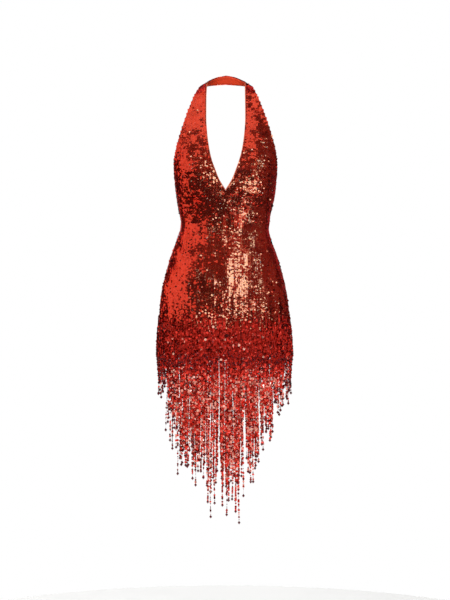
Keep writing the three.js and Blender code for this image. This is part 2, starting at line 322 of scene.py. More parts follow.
def front_half(side):
    """One half of the front: each level runs from the neckline or centre front (0) to the outer edge (1)
    on a straight line, which round bends into a quarter ellipse, fuller over the bust."""

    def plain(place, across):
        level, quarter = level_at(place), np.pi / 2 * across
        outward = level.round * np.sin(quarter) + (1 - level.round) * across
        forward = level.round * np.cos(quarter) + (1 - level.round) * (1 - across)
        fullness = level.bust * np.sin(np.pi * np.abs(across) ** BUST_PLACE) ** 2
        x = level.inner_x + (level.outer_x - level.inner_x) * outward
        y = level.outer_y + (level.inner_y - level.outer_y) * forward - fullness
        z = level.inner_z + (level.outer_z - level.inner_z) * across
        return np.stack([level.lean + side * x, MIDDLE_Y + y, z], -1) * MM

    return creased(plain, FRONT_CREASES, side)


def back_half(side):
    """One half of the back: a quarter ellipse at each level, from the centre back (0) to the side (1)."""

    def plain(place, across):
        level, quarter = level_at(place), np.pi / 2 * across
        x = level.lean + side * level.outer_x * np.sin(quarter)
        z = level.outer_z + 0 * across
        return np.stack([x, MIDDLE_Y + level.back * np.cos(quarter), z], -1) * MM

    return creased(plain, BACK_CREASES, -side)


def neck_band(place, down):
    """The band round the back of the neck: place runs from one side (-4) over the nape (0) to the other
    (4), and down goes straight from its upper edge (0) to its lower edge (1)."""
    station = rows_at(BAND_COLUMNS, BAND_STATIONS, LAST_STATION - np.abs(place))
    end = SEAM_GAP * (np.abs(place) > LAST_STATION - 0.01)
    top = np.stack([np.sign(place) * station.top_x, station.top_y + end, station.top_z], -1)
    bottom = np.stack([np.sign(place) * station.bottom_x, station.bottom_y + end, station.bottom_z], -1)
    middle = np.array([level_at(0.0).lean, MIDDLE_Y, 0])
    return (middle + top + (bottom - top) * np.asarray(down)[..., None]) * MM


DOWN_SAMPLES, OVER_SAMPLES, LEVEL_SAMPLES = 1200, 140, 1500  # points that lengths and heights are read at
DENSE_PLACES = np.linspace(POINT_OF_V, LAST_LEVEL, LEVEL_SAMPLES)
DENSE_HEIGHTS = level_at(DENSE_PLACES).outer_z


def place_of(z):
    """The place in the table of levels that lies at a height below the bust, in millimetres."""
    return np.interp(-np.asarray(z), -DENSE_HEIGHTS, DENSE_PLACES)


def scoop_z(across):
    """Upper edge of the back: a scoop, low in the middle and up to the side seams."""
    return SCOOP_LOW_Z + (SCOOP_SIDE_Z - SCOOP_LOW_Z) * np.sin(np.pi / 2 * across) ** SCOOP_POWER


def evenly_down(surface, across, first, last, pitch):
    """Places from first to last that lie one pitch apart along the surface's line at that across."""
    dense = np.linspace(first, last, DOWN_SAMPLES)
    steps = np.linalg.norm(np.diff(surface(dense, across + 0 * dense), axis=0), axis=-1)
    length = np.concatenate([[0], np.cumsum(steps)])
    count = max(int(round(length[-1] / pitch)), 1)
    return np.interp(np.linspace(0, length[-1], count + 1), length, dense)


def lengths_across(surface, places, start=0.0):
    """Length along each level from its inner edge to many places across, and those places."""
    across = np.linspace(0, 1, OVER_SAMPLES)
    points = surface(places[:, None] + 0 * across, across + 0 * places[:, None])
    steps = np.linalg.norm(np.diff(points, axis=1), axis=-1)
    return np.pad(np.cumsum(steps, axis=1), ((0, 0), (1, 0))) + np.reshape(start, (-1, 1)), across


def ripple(points, wavelength, seed, waves=9):
    """Smooth noise of about -1 to 1: the sum of sine waves of that length in random directions."""
    chance = np.random.default_rng(seed)
    heading = unit(chance.normal(size=(waves, 3))) * chance.uniform(0.6, 1.6, (waves, 1))
    phase = chance.uniform(0, 2 * np.pi, waves)
    return np.sin(points @ heading.T * (2 * np.pi / wavelength) + phase).sum(-1) / np.sqrt(waves / 2)


# ---------------------------------------------------------------- sizes and colours that can be changed


def length_value(name, description, default):
    """A length in metres that a user can change."""
    return FloatProperty(name=name, description=description, default=default, min=0, unit="LENGTH")


def colour_value(name, description, default):
    """A colour that a user can change."""
    kind = {"subtype": "COLOR", "size": 3, "min": 0, "max": 1}
    return FloatVectorProperty(name=name, description=description, default=default, **kind)


class DressCloth(PropertyGroup):
    """Sizes of the cut cloth."""

    wall: length_value("Cloth", "Thickness of the tulle with its stitching", 0.0016)
    lining_wall: length_value("Lining", "Thickness of the neck band's lining", 0.001)
    binding_wall: length_value("Binding", "Thickness of the neckline binding", 0.001)
    binding_width: length_value("Binding width", "How far the binding reaches across the cloth", 0.0065)
    binding_shows: length_value("Binding shows", "How far it stands past the cloth's edge", 0.0018)
    cell: length_value("Mesh cell", "Length of a cell of the cloth's mesh", 0.007)


class DressSequins(PropertyGroup):
    """Sizes of the sequins that are sewn on the cloth."""

    diameter: length_value("Diameter", "Diameter of a sequin", 0.0052)
    column_pitch: length_value("Column pitch", "Distance between two columns of sequins", 0.0043)
    row_pitch: length_value("Row pitch", "Distance between two sequins of a column", 0.0037)
    lift: length_value("Lift", "How far a sequin's lower edge stands off the next one", 0.00022)
    dish: length_value("Dish", "How deep a sequin is pressed in the middle", 0.00009)
    corners: IntProperty(name="Corners", description="Corners of a sequin's round edge", default=8, min=5)


class DressFringe(PropertyGroup):
    """Sizes of the hanging fringe."""

    strand_pitch: length_value("Strand pitch", "Distance between two strands of a tier", 0.0074)
    diameter: length_value("Diameter", "Diameter of a strung sequin", 0.0062)
    sequin_pitch: length_value("Sequin pitch", "Distance between two sequins of a strand", 0.0045)
    dish: length_value("Dish", "How deep a strung sequin is pressed in the middle", 0.00012)
    thread: length_value("Thread", "Thickness of the thread", 0.00045)
    bead: length_value("Bead", "Diameter of a small bead", 0.0035)
    drop: length_value("Drop", "Length of the drop bead at a strand's end", 0.0095)


class DressColours(PropertyGroup):
    """Colours of the dress's materials and of the floor."""

    foil: colour_value("Sequin", "Foil of the sequins", (0.76, 0.026, 0.009))
    foil_deep: colour_value("Deep sequin", "Foil of the deepest sequins", (0.6, 0.014, 0.005))
    foil_bright: colour_value("Strung sequin", "Foil of the bright strung sequins", (0.92, 0.05, 0.03))
    # painted highlight: this salmon colour on the palest strung sequins stands in for reflected light
    foil_pale: colour_value("Pale sequin", "Foil of the palest strung sequins", (0.95, 0.36, 0.27))
    tulle: colour_value("Tulle", "Ground cloth under the sequins", (0.3, 0.012, 0.01))
    lining: colour_value("Lining", "Smooth lining of the neck band", (0.85, 0.06, 0.014))
    binding: colour_value("Binding", "Binding of the neckline", (0.78, 0.13, 0.045))
    thread: colour_value("Thread", "Sewing and stringing thread", (0.42, 0.04, 0.035))
    bead: colour_value("Bead", "Small dark beads of the fringe", (0.15, 0.01, 0.014))
    floor: colour_value("Floor", "Pale studio floor", (0.9, 0.9, 0.89))


GROUPS = {
    "dress_cloth": DressCloth,
    "dress_sequins": DressSequins,
    "dress_fringe": DressFringe,
    "dress_colours": DressColours,
}

# ---------------------------------------------------------------- shaders


def maths(operation, reflected=False):
    """An operator on values that adds one Math node; reflected takes its own value last."""

    def operator(value, *others):
        inputs = (*others, value) if reflected else (value, *others)
        return value.look.node("ShaderNodeMath", {"operation": operation}, dict(enumerate(inputs)))

    return operator


class Value:
    """A shader socket that takes part in sums."""

    def __init__(self, look, socket):
        self.look, self.socket = look, socket

    __add__ = __radd__ = maths("ADD")
    __mul__ = __rmul__ = maths("MULTIPLY")
    __sub__, __rsub__ = maths("SUBTRACT"), maths("SUBTRACT", reflected=True)
    __truediv__, __rtruediv__ = maths("DIVIDE"), maths("DIVIDE", reflected=True)
    __mod__, __rmod__ = maths("FLOORED_MODULO"), maths("FLOORED_MODULO", reflected=True)
    __abs__ = maths("ABSOLUTE")
    at_most = maths("MINIMUM")

    def zigzag(self):
        """0.5 at whole numbers and 0 halfway between them, with straight slopes."""
        return abs(self % 1 - 0.5)

    def ramp(self, low, high):
        """0 up to low, 1 from high, smooth between them; with low above high it falls."""
        inputs = {"Value": self, "From Min": low, "From Max": high}
        return self.look.node("ShaderNodeMapRange", {"interpolation_type": "SMOOTHSTEP"}, inputs)


class Look:
    """The node tree of one material."""

    def __init__(self, name, tree=None):
        if tree is None:
            self.material = bpy.data.materials.new(name)
            self.material.use_nodes = True
            tree = self.material.node_tree
        self.tree = tree
        self.tree.nodes.clear()

    def node(self, kind, settings=(), inputs=(), output=0):
        """Adds a node: its settings first, then the values or links of its sockets. Gives one output."""
        made = self.tree.nodes.new(kind)
        for key, value in dict(settings).items():
            setattr(made, key, value)
        for key, value in dict(inputs).items():
            if isinstance(value, Value):
                self.tree.links.new(value.socket, made.inputs[key])
            else:
                made.inputs[key].default_value = value
        return Value(self, made.outputs[output]) if made.outputs else made

    def mix(self, share, first, second):
        """A colour between two, by a share from 0 to 1."""
        inputs = {0: share, 6: colour4(first), 7: colour4(second)}
        return self.node("ShaderNodeMix", {"data_type": "RGBA", "clamp_factor": True}, inputs, 2)

    def places(self):
        """Object coordinates, which are the dress's own, in metres."""
        return self.node("ShaderNodeTexCoord", output="Object")

    def uv(self, name):
        """One of the piece's own UV maps."""
        return self.node("ShaderNodeUVMap", {"uv_map": name})

    def tint(self):
        """The number that tells one sequin or bead from the next."""
        return self.node("ShaderNodeAttribute", {"attribute_name": "tint"}, output="Fac")

    def split(self, vector):
        """The three parts of a vector."""
        parts = self.node("ShaderNodeSeparateXYZ", {}, {0: vector}).socket.node.outputs
        return [Value(self, part) for part in parts]

    def noise(self, places, scale, detail):
        """Cloudy noise from 0 to 1, with about scale clouds a metre."""
        return self.node("ShaderNodeTexNoise", {}, {"Vector": places, "Scale": scale, "Detail": detail})

    def bump(self, height, distance, strength):
        """A normal tilted by a relief whose height of 1 stands for that distance in metres."""
        inputs = {"Strength": strength, "Distance": distance, "Height": height}
        return self.node("ShaderNodeBump", {}, inputs)

    def shade(self, colour, roughness, **inputs):
        """Ends the material in a Principled shader."""
        sockets = {"Base Color": colour4(colour), "Roughness": roughness, **inputs}
        shader = self.node("ShaderNodeBsdfPrincipled", {}, sockets)
        self.node("ShaderNodeOutputMaterial", {}, {"Surface": shader})
        return self.material


def colour4(colour):
    """A colour of three numbers with an alpha of 1, or a link as it is."""
    return colour if isinstance(colour, Value) else (*colour[:3], 1.0)


def times(colour, share):
    """A colour made darker (share below 1) or paler."""
    return tuple(min(part * share, 1.0) for part in colour[:3])


def foil_material(name, colour, deep, pale, thread, roughness, rim_share):
    """Sequin foil: a metallic film that differs a little from sequin to sequin, with a pressed rim darkened
    by painted shade, a hole in the middle with its thread, and faint scratches. On strung sequins the pale
    colour is a painted highlight, and a tint above 1 marks the brightest painted highlights."""
    look = Look(name)
    from_middle = {0: look.uv("disc"), 1: (0.5, 0.5, 0.0)}
    reach = look.node("ShaderNodeVectorMath", {"operation": "DISTANCE"}, from_middle, "Value") * 2
    tint = look.tint()
    scratches = look.noise(look.places(), 900.0, 3.0)
    rim, hole = reach.ramp(0.86, 0.98), reach.ramp(0.2, 0.13)
    film = look.mix(tint.ramp(0.0, 0.8), deep, colour)
    # painted highlight: tints from 0.8 up mix in the pale colour, and tints above 1 a still paler one; on
    # strung sequins these stand in for reflected light
    film = look.mix(tint.ramp(0.8, 1.0), film, pale)
    film = look.mix(tint.ramp(1.0, 1.3), film, times(pale, 1.35))
    # painted shade: the rim is darkened towards the deep colour, standing in for the shadow and gaps between
    # overlapping sequins; its bump and roughness are the real pressed rim
    film = look.mix(rim * rim_share, film, times(deep, 0.5))
    film = look.mix(hole, film, times(thread, 0.5))
    worn = roughness + scratches * 0.06 + rim * 0.1 + hole * 0.4
    pressed = look.bump(rim * 0.6 - hole + scratches * 0.06, 0.00012, 0.5)
    metal = 0.94 - hole * 0.9
    coat = {"Coat Weight": 0.08, "Coat Roughness": 0.05, "Specular Tint": colour4((0.95, 0.2, 0.14))}
    return look.shade(film, worn, Metallic=metal, Normal=pressed, **coat)


def tulle_material(name, colour, thread):
    """Ground cloth: a fine net of threads over a closer knit, with the stitches of each sequin column,
    which show on the wrong side. The grain map counts centimetres across and down the cloth."""
    look = Look(name)
    grain = look.uv("grain")
    over, down, _ = look.split(grain)
    cells = {"Vector": grain, "Scale": 9.0, "Randomness": 0.25}
    net = look.node("ShaderNodeTexVoronoi", {"feature": "DISTANCE_TO_EDGE"}, cells).ramp(0.18, 0.04)
    stitch = (over / 0.43).zigzag().ramp(0.16, 0.07) * (down / 0.37).zigzag().ramp(0.44, 0.36)
    fuzz = look.noise(look.places(), 60.0, 4.0)
    cloth = look.mix(fuzz.ramp(0.3, 0.7), times(colour, 0.75), times(colour, 1.25))
    cloth = look.mix(net * 0.55, cloth, times(thread, 0.7))
    cloth = look.mix(stitch, cloth, times(thread, 1.5))
    relief = look.bump(net * 0.5 + stitch, 0.0004, 0.8)
    sheen = {"Sheen Weight": 0.15, "Sheen Roughness": 0.4, "Sheen Tint": colour4((0.8, 0.1, 0.08))}
    return look.shade(cloth, 0.55 + fuzz * 0.2, Normal=relief, **sheen)


def woven_material(name, colour, scale, shine):
    """Plain woven cloth: fine crossing threads, with soft cloudy shading and slubs."""
    look = Look(name)
    places = look.places()
    x, y, z = look.split(places)
    warp, weft = ((x + y) * scale).zigzag() * 2, (z * scale).zigzag() * 2
    cloud, slub = look.noise(places, 35.0, 4.0), look.noise(places, 700.0, 2.0)
    cloth = look.mix(cloud.ramp(0.3, 0.7), times(colour, 0.86), times(colour, 1.1))
    cloth = look.mix(slub.ramp(0.55, 0.75) * 0.3, cloth, times(colour, 1.35))
    cloth = look.mix(weft.at_most(warp) * 0.25, cloth, times(colour, 0.6))
    relief = look.bump(weft * 0.5 + warp * 0.5 + slub * 0.4, 0.00012, 0.6)
    sheen = {"Sheen Weight": 0.08, "Sheen Tint": colour4((1.0, 0.2, 0.06)), "Specular IOR Level": 0.2}
    return look.shade(cloth, shine + cloud * 0.12, Normal=relief, **sheen)


def binding_material(name, colour, thread):
    """Satin bias binding: slanting satin floats and a row of stitches along its middle. The strip map
    counts centimetres along the binding and runs 0 to 1 across it."""
    look = Look(name)
    along, across, _ = look.split(look.uv("strip"))
    floats = (along * 9 + across * 4).zigzag() * 2
    line = abs(across - 0.62).ramp(0.08, 0.03)
    stitch = line * (along / 0.24).zigzag().ramp(0.42, 0.34)
    cloud = look.noise(look.places(), 80.0, 3.0)
    cloth = look.mix(cloud.ramp(0.3, 0.7), times(colour, 0.8), times(colour, 1.2))
    cloth = look.mix(floats * 0.3, cloth, times(colour, 0.65))
    cloth = look.mix(stitch, cloth, thread)
    relief = look.bump(floats * 0.3 + stitch - line * 0.6, 0.0002, 0.7)
    return look.shade(cloth, 0.36 + cloud * 0.12, Normal=relief, **{"Specular IOR Level": 0.25})


def thread_material(name, colour):
    """Twisted thread: short light and dark turns along its length."""
    look = Look(name)
    places = look.places()
    x, _, z = look.split(places)
    turns = (z * 900 + x * 500).zigzag() * 2
    fuzz = look.noise(places, 120.0, 3.0)
    colour = look.mix(turns * 0.6, colour, times(colour, 0.5))
    colour = look.mix(fuzz.ramp(0.35, 0.7) * 0.4, colour, (0.7, 0.3, 0.28))
    return look.shade(colour, 0.5 + turns * 0.15, Normal=look.bump(turns, 0.0001, 0.5))


def bead_material(name, colour, paler):
    """Small cut glass beads, dark red to nearly black, that differ from bead to bead."""
    look = Look(name)
    cloud = look.noise(look.places(), 500.0, 2.0)
    glass = look.mix(look.tint().ramp(0.7, 1.0), colour, paler)
    glass = look.mix(cloud.ramp(0.5, 0.7) * 0.4, glass, times(colour, 0.4))
    return look.shade(glass, 0.16 + cloud * 0.12, Metallic=0.85, **{"Coat Weight": 0.1})


def floor_material(name, colour):
    """Matt painted studio floor with a faint roller texture."""
    look = Look(name)
    cloud = look.noise(look.places(), 2.5, 4.0)
    grain = look.noise(look.places(), 160.0, 2.0)
    paint = look.mix(cloud.ramp(0.3, 0.7), colour, times(colour, 1.04))
    return look.shade(paint, 0.8 + grain * 0.1, Normal=look.bump(grain, 0.0006, 0.2))


def dress_material(name):
    """One of the dress's materials, made the first time that it is asked for, in the panel's colours."""
    if name in bpy.data.materials:
        return bpy.data.materials[name]
    shade = bpy.context.scene.dress_colours
    sewn = (shade.foil, shade.foil_deep, shade.foil, shade.thread)
    strung = (shade.foil_bright, times(shade.foil_deep, 0.5), shade.foil_pale, shade.thread)
    makers = {
        # the last number of each foil is how strongly painted shade darkens its sequins' rims
        "sequin_foil": (foil_material, *sewn, 0.05, 0.45),
        "fringe_foil": (foil_material, *strung, 0.2, 0.3),
        "sequin_tulle": (tulle_material, shade.tulle, shade.thread),
        "band_lining": (woven_material, shade.lining, 1800.0, 0.5),
        "neckline_binding": (binding_material, shade.binding, shade.thread),
        "fringe_thread": (thread_material, times(shade.thread, 1.8)),
        "fringe_bead": (bead_material, shade.bead, shade.foil),
        "studio_floor": (floor_material, shade.floor),
    }
    make, *values = makers[name]
    return make(name, *values)


# ---------------------------------------------------------------- meshes

# The material and the slot of each kind of piece.
TULLE = ("sequin_tulle", "sequin_cloth")
LINING = ("band_lining", "lining")
BINDING = ("neckline_binding", "binding")
SEWN_FOIL = ("sequin_foil", "sequin_cloth")
STRUNG_FOIL = ("fringe_foil", "fringe")
THREAD = ("fringe_thread", "fringe")
BEAD = ("fringe_bead", "fringe")


def new_piece(name, points, faces, material, slot, maps=(), values=(), smooth=True):
    """A piece of the dress from arrays of points, faces, UV maps per point and values per point."""
    mesh = bpy.data.meshes.new(name)
    faces = np.asarray(faces)
    mesh.from_pydata(points.reshape(-1, 3).tolist(), [], faces.tolist())
    for map_name, places in dict(maps).items():
        layer = mesh.uv_layers.new(name=map_name)
        layer.uv.foreach_set("vector", places.reshape(-1, 2)[faces.ravel()].astype(np.float32).ravel())
    for value_name, numbers in dict(values).items():
        attribute = mesh.attributes.new(value_name, "FLOAT", "POINT")
        attribute.data.foreach_set("value", numbers.astype(np.float32).ravel())
    mesh.polygons.foreach_set("use_smooth", np.full(len(mesh.polygons), smooth))
    mesh.materials.append(dress_material(material))
    piece = bpy.data.objects.new(name, mesh)
    bpy.context.scene.collection.objects.link(piece)
    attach(piece, "root")
    return piece


def grid_faces(rows, columns, flip=False, first=0):
    """Four-sided faces of a grid of points that are numbered row by row."""
    corner = (np.arange(rows - 1)[:, None] * columns + np.arange(columns - 1)).ravel() + first
    faces = np.stack([corner, corner + columns, corner + columns + 1, corner + 1], -1)
    return faces[:, ::-1] if flip else faces


def cut_cloth(name, points, faces, looks, maps, wall, stands_for):
    """A piece of cloth from its outer face: edges that meet are welded, then the wall is added inwards."""
    piece = new_piece(name, points, faces, *looks, maps)
    weld = piece.modifiers.new("Seam", "WELD")
    weld.merge_threshold = WELD_REACH
    solid = piece.modifiers.new("Wall", "SOLIDIFY")
    solid.thickness, solid.offset, solid.use_even_offset = wall, -1, True
    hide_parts(stands_for)


def cloth_grid(surface, places, across):
    """Points of a cloth surface, and its grain map: centimetres across from the centre and down."""
    points = surface(places, across)
    over = np.linalg.norm(np.diff(points, axis=1), axis=-1)
    down = np.linalg.norm(np.diff(points, axis=0), axis=-1).mean(axis=1)
    grain_x = np.pad(np.cumsum(over, axis=1), ((0, 0), (1, 0)))
    grain_y = np.pad(np.cumsum(down), (1, 0))[:, None] + 0 * grain_x
    return points, np.stack([grain_x, grain_y], -1) * 100


def sequin_discs(name, centres, normals, upward, diameter, corners, dish, tint, looks):
    """Round foil discs: corners on a circle across each normal, and a middle point sunk by the dish. The
    disc map runs 0 to 1 over each sequin, and the bake map gives each one a square cell of its own."""
    side = unit(np.cross(upward, normals))
    upright = np.cross(normals, side)
    around, number = np.arange(corners), np.arange(len(centres))
    turn = (around + 0.5) * 2 * np.pi / corners
    circle = np.stack([np.cos(turn), np.sin(turn)], -1)
    arms = circle[:, :1] * side[:, None] + circle[:, 1:] * upright[:, None]
    ring = centres[:, None] + arms * (diameter / 2)[:, None, None]
    points = np.concatenate([ring, (centres - normals * dish)[:, None]], axis=1)
    fan = np.stack([np.full(corners, corners), around, (around + 1) % corners], -1)
    faces = (number[:, None, None] * (corners + 1) + fan).reshape(-1, 3)
    disc = np.tile(0.5 + 0.5 * np.append(circle, [[0, 0]], axis=0), (len(centres), 1, 1))
    cells = int(np.ceil(np.sqrt(len(centres))))
    cell = np.stack([number % cells, number // cells], -1)[:, None]
    maps = {"disc": disc, "OFBake": (cell + BAKE_MARGIN + (1 - 2 * BAKE_MARGIN) * disc) / cells}
    return new_piece(name, points, faces, *looks, maps, {"tint": np.repeat(tint, corners + 1)})


def tilted(normals, down, azimuth, elevation):
    """Normals turned by small angles, in radians: azimuth about the downward line, elevation towards up."""
    side = np.cross(normals, down)
    turned = normals + side * np.tan(azimuth)[..., None] - down * np.tan(elevation)[..., None]
    return unit(turned)


def sequin_lean(points, column_turn, chance, seed, brushed):
    """How far each sewn sequin leans to +X and up: ripples that whole patches share, brushed patches, its
    own and its column's random turn, and a larger turn for the few that stand up. These are added in
    degrees, and given in radians. Low on the skirt a sequin turns alone, above that with its neighbours."""
    count, z = len(points), points[:, 2] / MM

    def waves(number, wavelength, stretch=1):
        return ripple(points * stretch, wavelength, seed + number)

    loose = np.interp(16 * waves(3, 0.03, (1, 1, 0.4)) - z, LOOSE_DEPTHS, LOOSENESS)
    uneven = np.clip(0.75 + 0.6 * waves(7, 0.03), 0.2, 1.2)
    sideways = waves(1, 0.045) * np.interp(z, [-260, -180], [1.6, 2.8]) + 1.9 * waves(4, 0.02, (1, 1, 0.1))
    upward = 1.6 * waves(2, 0.045) + 1.5 * waves(5, 0.01, (0.25, 0.25, 1))
    for row, bell in bells(BRUSHED_COLUMNS, brushed, points[:, 0] / MM, z):
        sideways = sideways + row.sideways * bell * uneven
        upward = upward + row.upward * bell * uneven
        loose = loose + row.looser * bell
    low = np.interp(-z, [560, 600], [0, 1])
    alone, together = loose * (0.45 + 0.55 * low), loose * 0.9 * (1 - low)
    sideways = sideways + chance.normal(size=count) * (1.2 + alone) + column_turn * (1.4 + loose * low)
    sideways = sideways + waves(8, 0.014) * together
    upward = upward + chance.normal(size=count) * (1.6 + alone)
    upward = upward + waves(6, 0.014, (0.3, 0.3, 1)) * together
    stand = chance.random(count) < np.interp(-z, STAND_DEPTHS, STAND_SHARES)
    sideways = sideways + stand * chance.normal(size=count) * STAND_SIDEWAYS
    upward = upward + stand * chance.normal(size=count) * STAND_UPWARD
    return np.radians(sideways), np.radians(upward)


def sewn_on(name, points, normals, down, column_turn, seed, brushed=()):
    """Sequins sewn flat on cloth, each leaning on the next one below, and raised where it leans sideways."""
    sizes = bpy.context.scene.dress_sequins
    chance = np.random.default_rng(seed)
    count = len(points)
    sideways, upward = sequin_lean(points, column_turn, chance, seed, brushed)
    facing = tilted(normals, down, sideways, upward + np.arctan(sizes.lift / sizes.row_pitch))
    raised = sizes.lift * (1.6 + 0.8 * chance.random(count)) + np.abs(np.sin(sideways)) * sizes.diameter * 0.3
    points = points + normals * raised[:, None]
    tint = np.clip(0.65 + 0.25 * chance.normal(size=count), 0, 1)
    diameter = sizes.diameter * (1 + 0.03 * chance.normal(size=count))
    sequin_discs(name, points, facing, -down, diameter, sizes.corners, sizes.dish, tint, SEWN_FOIL)


def sewn_columns(surface, places, start, pitch):
    """Places of sequins in straight columns, one pitch apart along each level, counted from the centre;
    every second column is set half a row lower. Gives each one's place, across and column number."""
    lengths, across = lengths_across(surface, places, start=start)
    columns = np.arange(int(lengths.max() / pitch))
    wanted = (columns + 0.5) * pitch
    found = np.array([np.interp(wanted, row, across, left=-1, right=-1) for row in lengths])
    half = np.gradient(places)[:, None] * 0.5 * (columns % 2)
    place = places[:, None] + half
    keep = (found >= 0) & (place < places[-1] + 0.01)
    return place[keep], found[keep], np.broadcast_to(columns, found.shape)[keep]


def column_turns(column, seed):
    """A random turn for each column of sequins, at each of its sequins."""
    return np.random.default_rng(seed).normal(size=column.max() + 1)[column]


# ---------------------------------------------------------------- operators

SIDES = {-1: "left", 1: "right"}
CLOTH_COLUMNS, BACK_ROWS = 27, 62  # points across half a level, and down the back
BAND_ROWS, BAND_PLACES = 6, 57  # points down the neck band, and along it
BINDING_POINTS, BINDING_STEP = 6, 0.004  # points across the binding, and metres from row to row


class DRESS_OT_front(Operator):
    """Make the front, cut in one with both straps"""

    bl_idname = "dress.front"
    bl_label = "Front cloth"

    def execute(self, context):
        sizes = context.scene.dress_cloth
        rows = evenly_down(front_half(1), 0.5, 0, LAST_LEVEL, sizes.cell)
        rows = np.unique(np.append(rows, POINT_OF_V))[:, None] + np.zeros(CLOTH_COLUMNS)
        across = np.linspace(0, 1, CLOTH_COLUMNS) + 0 * rows
        points, grain, faces = [], [], []
        for side in SIDES:
            half, half_grain = cloth_grid(front_half(side), rows, across)
            faces.append(grid_faces(*rows.shape, side < 0, len(points) * rows.size))
            points.append(half)
            grain.append(half_grain * (side, 1))
        cut_cloth("front_cloth", np.stack(points), np.concatenate(faces), TULLE, {"grain": np.stack(grain)},
                  sizes.wall, "front_panel")
        return {"FINISHED"}


class DRESS_OT_back(Operator):
    """Make the two halves of the back, below its scooped edge"""

    bl_idname = "dress.back"
    bl_label = "Back cloth"

    def execute(self, context):
        across = np.linspace(0, 1, CLOTH_COLUMNS)
        top = place_of(scoop_z(across))
        rows = top + (LAST_LEVEL - top) * np.linspace(0, 1, BACK_ROWS)[:, None]
        for side, hand in SIDES.items():
            points, grain = cloth_grid(back_half(side), rows, across + 0 * rows)
            points[:, -1, 1] += SEAM_GAP * MM
            points[:, 0, 0] += side * SEAM_GAP * MM / 2
            faces = grid_faces(*rows.shape, side > 0)
            cut_cloth(f"back_{hand}_cloth", points, faces, TULLE, {"grain": grain},
                      context.scene.dress_cloth.wall, f"back_{hand}_panel")
        return {"FINISHED"}


class DRESS_OT_neck_band(Operator):
    """Make the neck band and its smooth lining"""

    bl_idname = "dress.neck_band"
    bl_label = "Neck band and lining"

    def execute(self, context):
        sizes = context.scene.dress_cloth
        place = np.linspace(-LAST_STATION, LAST_STATION, BAND_PLACES) + np.zeros((BAND_ROWS, 1))
        down = np.linspace(0, 1, BAND_ROWS)[:, None] + 0 * place
        points, grain = cloth_grid(neck_band, place, down)
        faces = grid_faces(*place.shape, True)
        cut_cloth("neck_band_cloth", points, faces, TULLE, {"grain": grain}, sizes.wall, "neck_band")

        _, normals, _ = with_normals(neck_band, place, down, 1)
        inside = points - band_outwards(points, normals) * (sizes.wall + SEAM_GAP * MM)
        cut_cloth("neck_band_lining_cloth", inside, faces, LINING, {"grain": grain}, sizes.lining_wall,
                  "neck_band_lining")
        return {"FINISHED"}


def band_outwards(points, normals):
    """The band's normals, all turned away from the neck's middle."""
    away = points - np.array([level_at(0.0).lean, MIDDLE_Y, 0]) * MM
    return normals * np.where((normals * away)[..., :2].sum(-1, keepdims=True) < 0, -1, 1)


class DRESS_OT_binding(Operator):
    """Make the narrow binding along both sides of the neckline"""

    bl_idname = "dress.binding"
    bl_label = "Neckline binding"

    def execute(self, context):
        sizes = context.scene.dress_cloth
        share = np.linspace(-sizes.binding_shows / sizes.binding_width, 1, BINDING_POINTS)
        for side, hand in SIDES.items():
            surface = front_half(side)
            rows = evenly_down(surface, 0.0, 0, POINT_OF_V, BINDING_STEP)[:, None]
            level = level_at(rows)
            reach = sizes.binding_width / MM / np.maximum(level.outer_x - level.inner_x, 1)
            edge, normals, _ = with_normals(surface, rows, 0 * rows, side)
            points = edge + (surface(rows, reach) - edge) * share[:, None]
            points = points - normals * (sizes.wall + BINDING_GAP * MM)
            from_centre = np.maximum(side * (points[..., 0] - level.lean * MM), SEAM_GAP * MM / 2)
            points[..., 0] = level.lean * MM + side * from_centre
            along = np.pad(np.cumsum(np.linalg.norm(np.diff(edge[:, 0], axis=0), axis=-1)), (1, 0))
            across = np.linspace(0, 1, BINDING_POINTS)
            strip = np.stack(np.broadcast_arrays(along[:, None] * 100, across), -1)
            faces = grid_faces(len(rows), BINDING_POINTS, side < 0)
            cut_cloth(f"binding_{hand}", points, faces, BINDING, {"strip": strip}, sizes.binding_wall,
                      f"neckline_binding_{hand}")
        return {"FINISHED"}


class DRESS_OT_sequins(Operator):
    """Sew the sequins on the front, the back and the neck band"""

    bl_idname = "dress.sequins"
    bl_label = "Sewn sequins"

    def execute(self, context):
        sizes = context.scene.dress_sequins
        last = float(place_of(SEQUIN_END_Z))
        halves = []
        for side in SIDES:
            surface = front_half(side)
            rows = evenly_down(surface, 0.5, 0.02, last, sizes.row_pitch)
            start = level_at(rows).inner_x * MM
            place, across, column = sewn_columns(surface, rows, start, sizes.column_pitch)
            turn = column_turns(column, FRONT_COLUMN_SEED + side)
            halves.append((*with_normals(surface, place, across, side), turn))
        sewn_on("front_sequins", *map(np.concatenate, zip(*halves)), FRONT_SEED, FRONT_BRUSHED)

        for side, hand in SIDES.items():
            surface = back_half(side)
            top = float(place_of(SCOOP_SIDE_Z))
            rows = evenly_down(surface, 0.6, top, last, sizes.row_pitch)
            place, across, column = sewn_columns(surface, rows, 0.0, sizes.column_pitch)
            keep = place > place_of(scoop_z(across) - 1)
            place, across, column = place[keep], across[keep], column[keep]
            sewn = with_normals(surface, place, across, -side)
            turn = column_turns(column, BACK_COLUMN_SEED + side)
            sewn_on(f"back_{hand}_sequins", *sewn, turn, BACK_SEED + side, BACK_BRUSHED)

        # rows of sequins along the neck band, from its upper edge down
        end = LAST_STATION - 0.03
        along = evenly_down(neck_band, 0.5, -end, end, sizes.row_pitch)
        place, down = (each.ravel() for each in np.meshgrid(along, np.linspace(0.02, 0.98, BAND_ROWS)))
        points, normals, downward = with_normals(neck_band, place, down, 1)
        normals = band_outwards(points, normals)
        sewn_on("neck_band_sequins", points, normals, downward, 0 * place, BAND_SEED)
        return {"FINISHED"}


